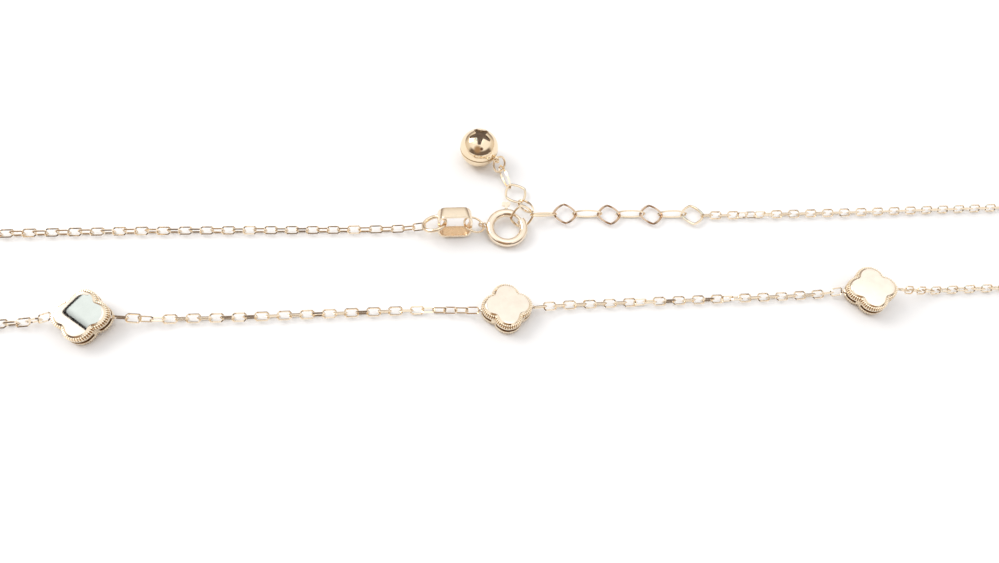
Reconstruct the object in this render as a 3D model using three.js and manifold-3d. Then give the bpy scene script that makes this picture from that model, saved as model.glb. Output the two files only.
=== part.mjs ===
// Gold necklace: a fine trace chain with three quatrefoil stations, a spring-ring clasp, a tag link and an
// extender of square links that ends in a hollow ball. It lies closed on a table, as a long narrow loop.
// Units are millimetres and +Z is up. The origin is on the table, under the middle of the loop.

import * as THREE from 'three';
import { mergeVertices } from 'three/addons/utils/BufferGeometryUtils.js';
import Module from 'manifold-3d';

const wasm = await Module();
wasm.setup();

// ---- driving dimensions ----

const MIDDLE_Y = 5.54; // from the front strand's working line to the middle of the loop

// chain: cut links 1.15 wide, laid flat on the table, drawn here as one tube for each stretch
const CHAIN_WIDTH = 1.15;
const CHAIN_SIDES = 8;
const CHAIN_LIE = 0.6; // height of the chain's middle where it lies on the table

// quatrefoil station
const LOBE_OFFSET = 1.38;
const LOBE_RADIUS = 1.62;
const VALLEY_RADIUS = 0.25;
const VALLEY_OFFSET = 2.571; // centre of the valley's round, along the diagonal
const VALLEY_TANGENT = 76.5; // degrees at which the lobe meets the valley's round
const STATION_HEIGHT = 2.25;
const STATION_STEPS = 48; // round the outline, twelve to a lobe
const STATION_EYE = { offset: 3.12, height: 1.12, radius: 0.32, wire: 0.1 };

// side wall of a station from the back face to the front face
const STATION_PROFILE = [
  { inset: 0.22, height: 0 },
  { inset: 0, height: 0.2 },
  { inset: 0, height: 0.68 },
  { inset: 0.24, height: 0.82 },
  { inset: 0.24, height: 1.42 },
  { inset: 0, height: 1.56 },
  { inset: 0, height: 1.95 },
  { inset: 0.32, height: STATION_HEIGHT },
];

// wire loops: half sizes are to the middle of the wire
const SQUARE_LINK = { reach: 1.52, corner: 0.45, wire: 0.15 };
const OVAL_LINK = { halfLength: 1.93, halfWidth: 0.57, wire: 0.14 };
const BALL_RING = { radius: 1.05, wire: 0.13 };
const TAG_RING = { radius: 1.45, wire: 0.25 };
const CLASP_RING = { radius: 1.32, wire: 0.14 };

// tag link: a flat band bent into a rounded rectangle
const TAG = { length: 4.4, height: 3.65, corner: 1.1, width: 1.8, thickness: 0.28 };

// spring-ring clasp, with angles in degrees round its own axis
const CLASP_RADIUS = 2.2;
const CLASP_TUBE = 0.55;
const CLASP_BORE = 0.3;
const CLASP_GAP = { from: 26, to: 64 };
const BOLT_RADIUS = 0.22;
const BOLT_ARC = { from: 16, to: 95 };
const POCKET_DEPTH = 16; // degrees of bore beyond the gap that take the bolt's tip
const BORE_END = 150;
const SLOT = { from: 80, to: 142, width: 0.34 };
const LEVER_ANGLE = 86;
const LEVER_STEM = 0.13;
const LEVER_TAB = { from: 2.85, to: 3.85, lobe: 0.31, thickness: 0.35 };
const LUG = { angle: 169, offset: 3.12, radius: 0.5, wire: 0.14 };

// end ball
const BALL_RADIUS = 2.6;
const BALL_WALL = 0.25;
const BALL_EYE = { offset: 2.92, radius: 0.42, wire: 0.13, heading: -43.8, pitch: -3 };
const STAR = { arms: 5, reach: 1.4, waist: 0.58, first: -102 };

// ---- materials ----

const gold = new THREE.MeshStandardMaterial({ name: 'gold', color: 0xe3bf85, metalness: 1, roughness: 0.16 });
const polished = new THREE.MeshStandardMaterial({ name: 'polished', color: 0xeccb92, metalness: 1 });
polished.roughness = 0.08;

// ---- helpers ----

const rad = THREE.MathUtils.degToRad;

function toSolid(geometry) {
  const bare = geometry.clone();
  bare.deleteAttribute('normal');
  bare.deleteAttribute('uv');
  const merged = mergeVertices(bare, 1e-4);
  const vertProperties = new Float32Array(merged.attributes.position.array);
  const triVerts = new Uint32Array(merged.index.array);
  return new wasm.Manifold(new wasm.Mesh({ numProp: 3, vertProperties, triVerts }));
}

function fromSolid(solid) {
  const mesh = solid.getMesh();
  const geometry = new THREE.BufferGeometry();
  geometry.setAttribute('position', new THREE.BufferAttribute(new Float32Array(mesh.vertProperties), 3));
  geometry.setIndex(new THREE.BufferAttribute(new Uint32Array(mesh.triVerts), 1));
  geometry.computeVertexNormals();
  return geometry;
}

// An arc of a circle about +Z, between two angles in degrees.
class ArcCurve extends THREE.Curve {
  constructor(radius, from, to) {
    super();
    this.radius = radius;
    this.from = from;
    this.to = to;
  }

  getPoint(t) {
    const angle = rad(this.from + (this.to - this.from) * t);
    return new THREE.Vector3(this.radius * Math.cos(angle), this.radius * Math.sin(angle), 0);
  }
}

// A smooth curve whose steps fall on its own points, so that a bend gets more of them than a straight run.
class RouteCurve extends THREE.CatmullRomCurve3 {
  getUtoTmapping(u) {
    return u;
  }
}

function polygon(radius, sides) {
  const shape = new THREE.Shape();
  for (let k = 0; k < sides; k += 1) {
    const angle = ((k + 0.5) / sides) * 2 * Math.PI;
    const corner = [radius * Math.cos(angle), radius * Math.sin(angle)];
    if (k === 0) shape.moveTo(...corner);
    else shape.lineTo(...corner);
  }
  shape.closePath();
  return shape;
}

function tube(curve, radius, sides, steps) {
  const options = { steps, extrudePath: curve, bevelEnabled: false };
  return new THREE.ExtrudeGeometry(polygon(radius, sides), options);
}

// Bends a ring's geometry onto another closed plane line. The line gives a point and its outward direction.
function wireLoop(line, wire, around, across) {
  const geometry = new THREE.TorusGeometry(1, wire, across, around);
  const position = geometry.attributes.position;
  for (let k = 0; k < position.count; k += 1) {
    const x = position.getX(k);
    const y = position.getY(k);
    const proud = Math.hypot(x, y) - 1;
    const turn = Math.round((Math.atan2(y, x) / (2 * Math.PI)) * around + around) % around;
    const { point, outward } = line(turn / around);
    position.setXY(k, point.x + outward.x * proud, point.y + outward.y * proud);
  }
  return geometry;
}

// Point and outward direction at a radius and an angle in degrees about a centre.
function roundPoint(centre, radius, angle) {
  const outward = new THREE.Vector2(Math.cos(rad(angle)), Math.sin(rad(angle)));
  return { point: centre.clone().addScaledVector(outward, radius), outward };
}

// ---- station ----

// The quatrefoil outline at a fraction of a full turn, moved inwards by an inset.
function quatrefoil(turn, inset) {
  const lobe = Math.floor(turn * 4 + 0.5);
  const across = (turn * 4 - lobe) * 2; // -1 to 1 from valley to valley
  const side = Math.sign(across) || 1;
  const round = 5 / 6; // share of the steps that the lobe takes, the rest go to the valley
  const point = new THREE.Vector2();
  if (Math.abs(across) <= round + 1e-6) {
    const angle = rad((Math.abs(across) / round) * VALLEY_TANGENT);
    const radius = LOBE_RADIUS - inset;
    point.set(LOBE_OFFSET + radius * Math.cos(angle), side * radius * Math.sin(angle));
  } else {
    const share = (Math.abs(across) - round) / (1 - round);
    const angle = rad(VALLEY_TANGENT - share * (VALLEY_TANGENT - 45));
    const radius = VALLEY_RADIUS + inset;
    const centre = VALLEY_OFFSET * Math.SQRT1_2;
    point.set(centre - radius * Math.cos(angle), side * (centre - radius * Math.sin(angle)));
  }
  return point.rotateAround(new THREE.Vector2(), (lobe * Math.PI) / 2);
}

function stationBody() {
  const outside = LOBE_OFFSET + LOBE_RADIUS;
  const profile = STATION_PROFILE.map((row) => new THREE.Vector2(outside - row.inset, row.height));
  profile.unshift(new THREE.Vector2(0, 0));
  profile.push(new THREE.Vector2(0, STATION_HEIGHT));
  const geometry = new THREE.LatheGeometry(profile, STATION_STEPS);
  geometry.rotateX(Math.PI / 2);
  const position = geometry.attributes.position;
  for (let k = 0; k < position.count; k += 1) {
    const x = position.getX(k);
    const y = position.getY(k);
    const radius = Math.hypot(x, y);
    if (radius < 1e-6) continue;
    const turn = Math.atan2(y, x) / (2 * Math.PI);
    const step = Math.round(turn * STATION_STEPS + STATION_STEPS) % STATION_STEPS;
    const point = quatrefoil(step / STATION_STEPS, outside - radius);
    position.setXY(k, point.x, point.y);
  }
  return geometry;
}

function stationEye(side) {
  const { offset, height, radius, wire } = STATION_EYE;
  const eye = new THREE.TorusGeometry(radius, wire, 6, 10);
  eye.rotateX(Math.PI / 2);
  eye.translate(side * offset, 0, height);
  return eye;
}

function station() {
  const body = toSolid(stationBody());
  return fromSolid(body.add(toSolid(stationEye(-1))).add(toSolid(stationEye(1))));
}

// ---- links and rings ----

function squareLine(turn) {
  const { reach, corner } = SQUARE_LINK;
  const quarter = Math.floor(turn * 4 + 0.5);
  const across = (turn * 4 - quarter) * 2; // -1 to 1 from the middle of one side to the middle of the next
  const round = 0.6; // share of the steps that the corner takes
  const toCentre = reach - corner;
  const angle = (Math.min(Math.abs(across), round) / round) * 45 * Math.sign(across);
  const line = roundPoint(new THREE.Vector2(toCentre, 0), corner, angle);
  if (Math.abs(across) > round + 1e-6) {
    const middle = (toCentre * Math.SQRT1_2 + corner) * Math.SQRT1_2;
    line.point.set(middle, middle * Math.sign(across));
  }
  const origin = new THREE.Vector2();
  line.point.rotateAround(origin, (quarter * Math.PI) / 2);
  line.outward.rotateAround(origin, (quarter * Math.PI) / 2);
  return line;
}

function ovalLine(turn) {
  const { halfLength, halfWidth } = OVAL_LINK;
  const half = Math.floor(turn * 2 + 0.5);
  const across = (turn * 2 - half) * 2; // -1 to 1 round one end
  const round = 5 / 6;
  const angle = (THREE.MathUtils.clamp(across / round, -1, 1)) * 90;
  const line = roundPoint(new THREE.Vector2(halfLength - halfWidth, 0), halfWidth, angle);
  if (Math.abs(across) > round + 1e-6) line.point.x = 0;
  const origin = new THREE.Vector2();
  line.point.rotateAround(origin, half * Math.PI);
  line.outward.rotateAround(origin, half * Math.PI);
  return line;
}

const squareLink = () => wireLoop(squareLine, SQUARE_LINK.wire, 20, 6);
const ovalLink = () => wireLoop(ovalLine, OVAL_LINK.wire, 12, 6);
const ring = (size, around, across) => new THREE.TorusGeometry(size.radius, size.wire, across, around);
const tagRing = () => ring(TAG_RING, 22, 8);
const claspRing = () => ring(CLASP_RING, 18, 6);
const ballRing = () => ring(BALL_RING, 16, 6);

// ---- tag link ----

function roundedRectangle(path, width, height, corner) {
  const x = width / 2 - corner;
  const y = height / 2 - corner;
  path.moveTo(x + corner, y);
  path.absarc(x, y, corner, 0, Math.PI / 2);
  path.absarc(-x, y, corner, Math.PI / 2, Math.PI);
  path.absarc(-x, -y, corner, Math.PI, 1.5 * Math.PI);
  path.absarc(x, -y, corner, 1.5 * Math.PI, 2 * Math.PI);
  return path;
}

function tagLink() {
  const { length, height, corner, width, thickness } = TAG;
  const outline = roundedRectangle(new THREE.Shape(), length, height, corner);
  const inside = new THREE.Path();
  roundedRectangle(inside, length - 2 * thickness, height - 2 * thickness, corner - thickness);
  outline.holes.push(inside);
  const options = { depth: width, bevelEnabled: false, curveSegments: 5 };
  const geometry = new THREE.ExtrudeGeometry(outline, options);
  geometry.translate(0, 0, -width / 2);
  return geometry;
}

// ---- clasp ----

// A ring-shaped sector of square section, used to cut the lever's slot.
function sector(inner, outer, from, to, width) {
  const shape = new THREE.Shape();
  shape.absarc(0, 0, outer, rad(from), rad(to), false);
  shape.absarc(0, 0, inner, rad(to), rad(from), true);
  shape.closePath();
  const geometry = new THREE.ExtrudeGeometry(shape, { depth: width, bevelEnabled: false, curveSegments: 10 });
  geometry.translate(0, 0, -width / 2);
  return geometry;
}

function claspBody() {
  const { from, to } = CLASP_GAP;
  const metal = tube(new ArcCurve(CLASP_RADIUS, to, from + 360), CLASP_TUBE, 10, 36);
  const bore = tube(new ArcCurve(CLASP_RADIUS, to - 2, BORE_END), CLASP_BORE, 8, 12);
  const pocket = tube(new ArcCurve(CLASP_RADIUS, from - POCKET_DEPTH, from + 2), CLASP_BORE, 8, 3);
  const slot = sector(CLASP_RADIUS, CLASP_RADIUS + 2 * CLASP_TUBE, SLOT.from, SLOT.to, SLOT.width);
  const lug = new THREE.TorusGeometry(LUG.radius, LUG.wire, 6, 12);
  lug.rotateX(Math.PI / 2);
  lug.translate(LUG.offset, 0, 0);
  lug.rotateZ(rad(LUG.angle));
  const body = toSolid(metal).subtract(toSolid(bore)).subtract(toSolid(pocket)).subtract(toSolid(slot));
  return fromSolid(body.add(toSolid(lug)));
}

// The sprung bolt with its thumb lever: a stem through the slot, and a flat tab of two round lobes.
function claspBolt() {
  const { from, to, lobe, thickness } = LEVER_TAB;
  const bolt = tube(new ArcCurve(CLASP_RADIUS, BOLT_ARC.from, BOLT_ARC.to), BOLT_RADIUS, 8, 10);
  const stem = new THREE.CylinderGeometry(LEVER_STEM, LEVER_STEM, from + lobe - CLASP_RADIUS, 8);
  stem.translate(0, (from + lobe + CLASP_RADIUS) / 2, 0);
  const tab = new THREE.Shape();
  tab.moveTo(-LEVER_STEM, from);
  tab.lineTo(LEVER_STEM, from);
  tab.absarc(lobe * 0.85, to - lobe, lobe, -Math.PI / 3, Math.PI / 2 + 0.35, false);
  tab.absarc(-lobe * 0.85, to - lobe, lobe, Math.PI / 2 - 0.35, Math.PI + Math.PI / 3, false);
  tab.closePath();
  const plate = new THREE.ExtrudeGeometry(tab, { depth: thickness, bevelEnabled: false, curveSegments: 5 });
  plate.translate(0, 0, -thickness / 2);
  let solid = toSolid(bolt);
  for (const piece of [stem, plate]) {
    piece.rotateZ(rad(LEVER_ANGLE - 90));
    solid = solid.add(toSolid(piece));
  }
  return fromSolid(solid);
}

// ---- end ball ----

function starShape() {
  const shape = new THREE.Shape();
  for (let k = 0; k < STAR.arms; k += 1) {
    const arm = STAR.first + (k * 360) / STAR.arms;
    const tips = [
      { angle: arm - 36, reach: STAR.waist },
      { angle: arm - 7, reach: STAR.reach },
      { angle: arm + 7, reach: STAR.reach },
    ];
    for (const tip of tips) {
      const corner = [tip.reach * Math.cos(rad(tip.angle)), tip.reach * Math.sin(rad(tip.angle))];
      if (shape.curves.length === 0 && shape.currentPoint.lengthSq() === 0) shape.moveTo(...corner);
      else shape.lineTo(...corner);
    }
  }
  shape.closePath();
  return shape;
}

function endBall() {
  const shell = toSolid(new THREE.SphereGeometry(BALL_RADIUS, 24, 16).rotateX(Math.PI / 2));
  const hollow = toSolid(new THREE.SphereGeometry(BALL_RADIUS - BALL_WALL, 16, 12).rotateX(Math.PI / 2));
  const cutter = new THREE.ExtrudeGeometry(starShape(), { depth: BALL_RADIUS, bevelEnabled: false });
  cutter.translate(0, 0, BALL_RADIUS / 3);
  const eye = new THREE.TorusGeometry(BALL_EYE.radius, BALL_EYE.wire, 6, 10);
  eye.rotateX(Math.PI / 2);
  eye.translate(BALL_EYE.offset, 0, 0);
  eye.rotateY(rad(-BALL_EYE.pitch));
  eye.rotateZ(rad(BALL_EYE.heading));
  return fromSolid(shell.add(toSolid(eye)).subtract(hollow).subtract(toSolid(cutter)));
}

// ---- chain ----

// Points of an end bend, from the back strand to the front strand or the other way.
function bend(centre, radius, from, to) {
  const steps = 8;
  const points = [];
  for (let k = 0; k <= steps; k += 1) {
    const angle = rad(from + ((to - from) * k) / steps);
    points.push([centre[0] + radius * Math.cos(angle), centre[1] + radius * Math.sin(angle), CHAIN_LIE]);
  }
  return points;
}

const LEFT_BEND = bend([-100.65, 0.4], 6.35, 90, 270);
const RIGHT_BEND = bend([100.3, 0.6], 6.7, 90, -90);

const ROUTES = {
  chain_tag_side: [
    [-10.87, 5.96, 1.2],
    [-12.4, 6.02, 0.86],
    [-14.3, 6.12, 0.64],
    [-20, 6.19, CHAIN_LIE],
    [-29, 6.41, CHAIN_LIE],
    [-37, 6.61, CHAIN_LIE],
    [-45, 6.77, CHAIN_LIE],
    [-53, 6.86, CHAIN_LIE],
    [-61, 6.88, CHAIN_LIE],
    [-71, 6.85, CHAIN_LIE],
    [-82, 6.8, CHAIN_LIE],
    [-92, 6.76, CHAIN_LIE],
    ...LEFT_BEND,
    [-92, -5.9, CHAIN_LIE],
    [-82, -5.82, CHAIN_LIE],
    [-72, -5.68, CHAIN_LIE],
    [-63, -5.58, CHAIN_LIE],
    [-57, -5.53, 0.62],
    [-55.3, -5.52, 0.78],
    [-54.1, -5.48, 1.12],
    [-52.98, -5.41, 1.51],
  ],
  chain_left_centre: [
    [-45.14, -5.8, 1.51],
    [-43.7, -5.82, 1.19],
    [-42, -5.83, 0.86],
    [-40.2, -5.82, 0.67],
    [-38, -5.8, CHAIN_LIE],
    [-32, -5.9, CHAIN_LIE],
    [-25, -5.9, CHAIN_LIE],
    [-18, -5.9, CHAIN_LIE],
    [-11, -5.92, CHAIN_LIE],
    [-7.9, -6.08, 0.64],
    [-6.1, -6.3, 0.84],
    [-4.68, -6.48, 1.05],
  ],
  chain_centre_right: [
    [3.12, -6.38, 1.05],
    [4.7, -6.2, 0.84],
    [6.5, -6.05, 0.64],
    [10, -6, CHAIN_LIE],
    [16, -6, CHAIN_LIE],
    [22, -6, CHAIN_LIE],
    [28, -6, CHAIN_LIE],
    [34, -6, CHAIN_LIE],
    [39.5, -5.92, 0.61],
    [41.3, -5.85, 0.7],
    [42.98, -5.76, 0.87],
  ],
  chain_extender_side: [
    [28.5, 7.12, 0.6],
    [31, 7.05, CHAIN_LIE],
    [37, 7.03, CHAIN_LIE],
    [44, 7.03, CHAIN_LIE],
    [51, 7.06, CHAIN_LIE],
    [58, 7.13, CHAIN_LIE],
    [65, 7.2, CHAIN_LIE],
    [73, 7.28, CHAIN_LIE],
    [82, 7.3, CHAIN_LIE],
    [92, 7.3, CHAIN_LIE],
    ...RIGHT_BEND,
    [92, -6.1, CHAIN_LIE],
    [82, -6.08, CHAIN_LIE],
    [73, -6.04, CHAIN_LIE],
    [65, -6, CHAIN_LIE],
    [58.4, -6.02, 0.62],
    [56.1, -6.13, 0.83],
    [54.1, -6.32, 1.31],
    [52.4, -6.53, 1.88],
    [50.7, -6.75, 2.48],
  ],
};

function chain(points) {
  const route = new RouteCurve(points.map((point) => new THREE.Vector3(...point)));
  const radius = CHAIN_WIDTH / 2 / Math.cos(Math.PI / CHAIN_SIDES);
  return tube(route, radius, CHAIN_SIDES, points.length - 1);
}

// ---- assembly ----

// Each row places one piece: its middle (a station's back face), then heading, pitch and roll in degrees.
const PLACES = [
  { name: 'station_left', make: station, at: [-49.05, -5.42, 0.44], heading: -3, pitch: 0, roll: 9 },
  { name: 'station_centre', make: station, at: [-0.78, -6.44, 0], heading: 1, pitch: 0, roll: 0 },
  { name: 'station_right', make: station, at: [47.14, -6.17, 0.62], heading: -7.5, pitch: 12, roll: 6 },
  { name: 'tag_jump_ring', make: tagRing, at: [-8.9, 5.95, 1.8], heading: 0, pitch: 15, roll: -18 },
  { name: 'tag_link', make: tagLink, at: [-6.32, 5.97, 1.97], heading: 0, pitch: 0, roll: 80 },
  { name: 'clasp_jump_ring', make: claspRing, at: [-3.81, 5.86, 1.48], heading: 15, pitch: -19, roll: -5 },
  { name: 'clasp_body', make: claspBody, at: [0.5, 5.62, 0.97], heading: 0, pitch: 2, roll: 6.5 },
  { name: 'clasp_bolt', make: claspBolt, at: [0.5, 5.62, 0.97], heading: 0, pitch: 2, roll: 6.5 },
  { name: 'rhombus_0', make: squareLink, at: [2.34, 11.39, 0.71], heading: 118, pitch: 8, roll: 4 },
  { name: 'rhombus_1', make: squareLink, at: [2.65, 7.02, 1.4], heading: 9, pitch: 0, roll: 55 },
  { name: 'rhombus_2', make: squareLink, at: [8.65, 7.88, 0.68], heading: -3, pitch: 1, roll: 1 },
  { name: 'rhombus_3', make: squareLink, at: [14.72, 7.67, 0.53], heading: 0, pitch: 0, roll: 0 },
  { name: 'rhombus_4', make: squareLink, at: [20.6, 7.51, 0.53], heading: 0, pitch: 0, roll: 0 },
  { name: 'rhombus_5', make: squareLink, at: [26.4, 7.29, 0.53], heading: -4, pitch: 0, roll: 0 },
  { name: 'oval_0', make: ovalLink, at: [1.15, 14.16, 0.84], heading: 106, pitch: 2, roll: -70 },
  { name: 'oval_a', make: ovalLink, at: [3.35, 8.78, 1.32], heading: 113, pitch: -30, roll: -48 },
  { name: 'oval_b', make: ovalLink, at: [5.65, 7.56, 1.03], heading: 12, pitch: -14, roll: -59 },
  { name: 'oval_c', make: ovalLink, at: [11.69, 7.78, 0.71], heading: -2, pitch: 0, roll: 80 },
  { name: 'oval_d', make: ovalLink, at: [17.66, 7.59, 0.71], heading: -2, pitch: 0, roll: 80 },
  { name: 'oval_e', make: ovalLink, at: [23.5, 7.4, 0.71], heading: -2, pitch: 0, roll: 80 },
  { name: 'end_ball', make: endBall, at: [-2.19, 17.92, 2.6], heading: 0, pitch: 0, roll: 0 },
  { name: 'ball_jump_ring', make: ballRing, at: [0.47, 15.8, 1.56], heading: -132, pitch: -9, roll: -61 },
];

const necklace = new THREE.Group();
necklace.position.y = -MIDDLE_Y;

for (const [name, points] of Object.entries(ROUTES)) {
  const mesh = new THREE.Mesh(chain(points), gold.clone());
  mesh.name = name;
  necklace.add(mesh);
}

for (const place of PLACES) {
  const polish = place.name.startsWith('station') ? polished : gold;
  const mesh = new THREE.Mesh(place.make(), polish.clone());
  mesh.name = place.name;
  mesh.position.set(...place.at);
  mesh.rotation.set(rad(place.roll), rad(-place.pitch), rad(place.heading), 'ZYX');
  necklace.add(mesh);
}

const root = new THREE.Group();
root.add(necklace);

export default root;
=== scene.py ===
"""Gold necklace, laid closed on a pale table.

Fine trace chain with cut links, three quatrefoil stations, a spring-ring clasp, a tag link, and an extender
of square links that ends in a hollow ball with a pierced star.

The tables are in millimetres and degrees, in the laid-out necklace's own plan. PLAN brings them to metres in
the shared frame.
"""

import bmesh
import bpy
from math import atan2, cos, floor, pi, radians, sin, sqrt
from mathutils import Matrix, Vector
from random import Random


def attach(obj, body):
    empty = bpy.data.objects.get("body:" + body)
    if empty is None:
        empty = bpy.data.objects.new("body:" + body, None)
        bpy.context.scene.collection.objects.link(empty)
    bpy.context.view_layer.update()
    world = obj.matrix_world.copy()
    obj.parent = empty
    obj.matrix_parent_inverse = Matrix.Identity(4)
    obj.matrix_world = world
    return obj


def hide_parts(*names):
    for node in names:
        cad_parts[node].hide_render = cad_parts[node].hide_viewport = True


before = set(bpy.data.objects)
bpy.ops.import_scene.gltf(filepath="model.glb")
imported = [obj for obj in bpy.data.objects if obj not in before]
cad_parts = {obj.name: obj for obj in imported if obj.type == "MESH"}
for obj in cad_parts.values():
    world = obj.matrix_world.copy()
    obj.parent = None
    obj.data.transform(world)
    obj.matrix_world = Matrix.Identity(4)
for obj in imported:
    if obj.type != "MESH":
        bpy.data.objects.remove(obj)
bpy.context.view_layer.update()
scene = bpy.context.scene

# ---- sizes ----

MM = 0.001
MIDDLE_Y = 5.54  # from the plan's zero line to the middle of the loop
PLAN = Matrix.Translation((0, -MIDDLE_Y * MM, 0)) @ Matrix.Scale(MM, 4)

WELD = 1e-7  # points closer than this are one, in metres
SHARP_EDGE = 35
HALF_DIAGONAL = sqrt(0.5)  # of a square of side 1

# "wire" is half the thickness of a wire, over its corners. "sides" counts the flats of a wire or tube: 4 and
# 8 are real facets, and more make it round. "steps" counts the straight runs along its length.

LINK = {"width": 1.16, "cut": 0.27, "wire": 0.107, "steps": 8, "sides": 4}
LINK_PLAY = 5  # how far a link may lean from its even turn
LINK_DRAWS = 5  # starts the draws of the links' lean
LINK_SHARP_EDGE = 20
CHAIN_LIE = 0.6  # height of the chain's middle line where it lies on the table
BEND_STEPS = 8
ROUTE_STEPS = 10  # runs of the chain's smooth line between two points of its route

SQUARE_LINK = {"reach": 1.52, "roundness": 14, "wire": 0.17, "steps": 64, "sides": 8}
SQUARE_LINKS = 6
DARKENED_SQUARE_LINKS = {"numbers": (2, 3, 4), "sides": 4}  # the square links darkened with painted shade, and the flats of their wire
OVAL_LINK = {"half_length": 1.93, "half_width": 0.57, "wire": 0.155, "steps": 48, "sides": 4}
OVAL_LINKS = ("oval_0", "oval_a", "oval_b", "oval_c", "oval_d", "oval_e")

RINGS = {
    "tag_jump_ring": {"radius": 1.45, "wire": 0.25},
    "clasp_jump_ring": {"radius": 1.32, "wire": 0.14},
    "ball_jump_ring": {"radius": 1.05, "wire": 0.15},
}
RING_STEPS = 64
RING_SIDES = 20
EYE_STEPS = 32
EYE_SIDES = 12

TAG = {"length": 4.4, "height": 3.65, "corner": 1.1, "width": 1.8, "thickness": 0.28, "steps": 48}
TAG_EDGE = {"radius": 0.06, "segments": 3, "sharper_than": 60}
TAG_WALL = 0.1  # a face of the band whose normal leans less than this towards the rims is a wall

# Angles on the clasp are taken round it, from the side of the extender.
CLASP_RADIUS = 2.2
CLASP_TUBE = 0.55
CLASP_GAP = (26, 64)
TUBE_STEPS = 110
TUBE_SIDES = 28
CLASP_BORE = 0.3
BORE_END = 150
BORE_STEPS = 30
BORE_SIDES = 20
BORE_OVERRUN = 3  # how far a bore's cutter runs out of the tube's end
POCKET_DEPTH = 16
POCKET_STEPS = 8
SLOT = {"from": 80, "to": 142, "width": 0.34, "steps": 24}
LUG = {"angle": 169, "offset": 3.12, "radius": 0.5, "wire": 0.14}

BOLT_RADIUS = 0.22
BOLT_ARC = (16, 95)
LEVER_ANGLE = 86
LEVER_STEM = {"radius": 0.13, "sides": 16}
LEVER_TAB = {"from": 2.85, "to": 3.85, "lobe": 0.31, "thickness": 0.35, "sides": 24}
LOBE_SPREAD = 0.85  # from the lever's middle line to the middle of a lobe, in lobe radii
NECK = {"width": 1.3, "back": 0.5, "shorter": 0.6}  # between the lobes, in lobe radii
NECK_THICKNESS = 0.98  # as a share of the tab's

BALL_RADIUS = 2.6
BALL_WALL = 0.25
BALL_OUTSIDE = {"u_segments": 72, "v_segments": 84}
BALL_INSIDE = {"u_segments": 48, "v_segments": 32}
BALL_SEAM = {"depth": 0.1, "line": 0.02, "reach": 0.06}  # line and reach are heights off the seam's plane
BALL_EYE = {"offset": 2.92, "radius": 0.42, "wire": 0.17, "heading": -43.8, "pitch": -3}
BALL_SHARP_EDGE = 28
STAR = {"arms": 5, "reach": 1.45, "waist": 0.68, "first": -102, "tip": 8}
STAR_CUT_FROM = 0.6  # height from which the star is cut, in ball radii

LOBE_OFFSET = 1.38
LOBE_RADIUS = 1.62
VALLEY_RADIUS = 0.25
VALLEY_OFFSET = 2.571  # centre of the valley's round, along the diagonal
VALLEY_TANGENT = 76.5  # angle at which the lobe meets the valley's round
HALF_LOBE = radians(VALLEY_TANGENT) * LOBE_RADIUS  # length of the outline over half a lobe
HALF_VALLEY = radians(VALLEY_TANGENT - 45) * VALLEY_RADIUS  # and over half a valley
OUTLINE_QUARTER = 2 * (HALF_LOBE + HALF_VALLEY)
STATION_EYE = {"offset": 3.12, "height": 1.12, "radius": 0.32, "wire": 0.1, "steps": 24, "sides": 10}
STATION_SHARP_EDGE = 25

NOTCHES = 68
NOTCH = (1.0, 0.55, 0.0, 0.0, 0.0, 0.55)  # how deep the milling is at each point of one notch and one tooth
OUTLINE_POINTS = NOTCHES * len(NOTCH)
FIRST_POINT_SLACK = 0.004  # keeps the point at angle zero the first one, in radians

# Side of a station from its back face to its front face: how far in from the outline and how high each line
# lies, how deep the milling cuts there, and how deep the slots in its wall are.
STATION_PROFILE = [
    {"inset": 0.3, "height": 0.0},
    {"inset": 0.26, "height": 0.02},
    {"inset": 0.1, "height": 0.12, "notch": 0.1},
    {"inset": -0.04, "height": 0.24, "notch": 0.15},
    {"inset": -0.08, "height": 0.34, "notch": 0.15},
    {"inset": -0.08, "height": 0.52, "notch": 0.1},
    {"inset": -0.08, "height": 0.6},
    {"inset": -0.08, "height": 0.64},
    {"inset": -0.08, "height": 0.8},
    {"inset": -0.07, "height": 0.82, "slot": 0.02},
    {"inset": -0.07, "height": 0.84, "slot": 0.3},
    {"inset": -0.07, "height": 1.29, "slot": 0.3},
    {"inset": -0.07, "height": 1.31, "slot": 0.02},
    {"inset": -0.08, "height": 1.33},
    {"inset": -0.08, "height": 1.48},
    {"inset": -0.1, "height": 1.54},
    {"inset": -0.1, "height": 1.6, "notch": 0.1},
    {"inset": -0.1, "height": 1.84, "notch": 0.22},
    {"inset": -0.06, "height": 1.94, "notch": 0.22},
    {"inset": 0.02, "height": 2.02, "notch": 0.16},
    {"inset": 0.2, "height": 2.04},
    {"inset": 0.34, "height": 2.16},
    {"inset": 0.38, "height": 2.19},
]
SLOT_END = 0.42  # how far a slot stops short of a valley
SLOT_INSIDE = 0.2  # deeper than this, a point is inside a slot

# The face swells by its rise, from its reach, just past the tips of the lobes, to its middle.
FACE = {"inset": 0.41, "height": 2.2, "rise": 0.055, "reach": 2.61, "steps": 8}

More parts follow.
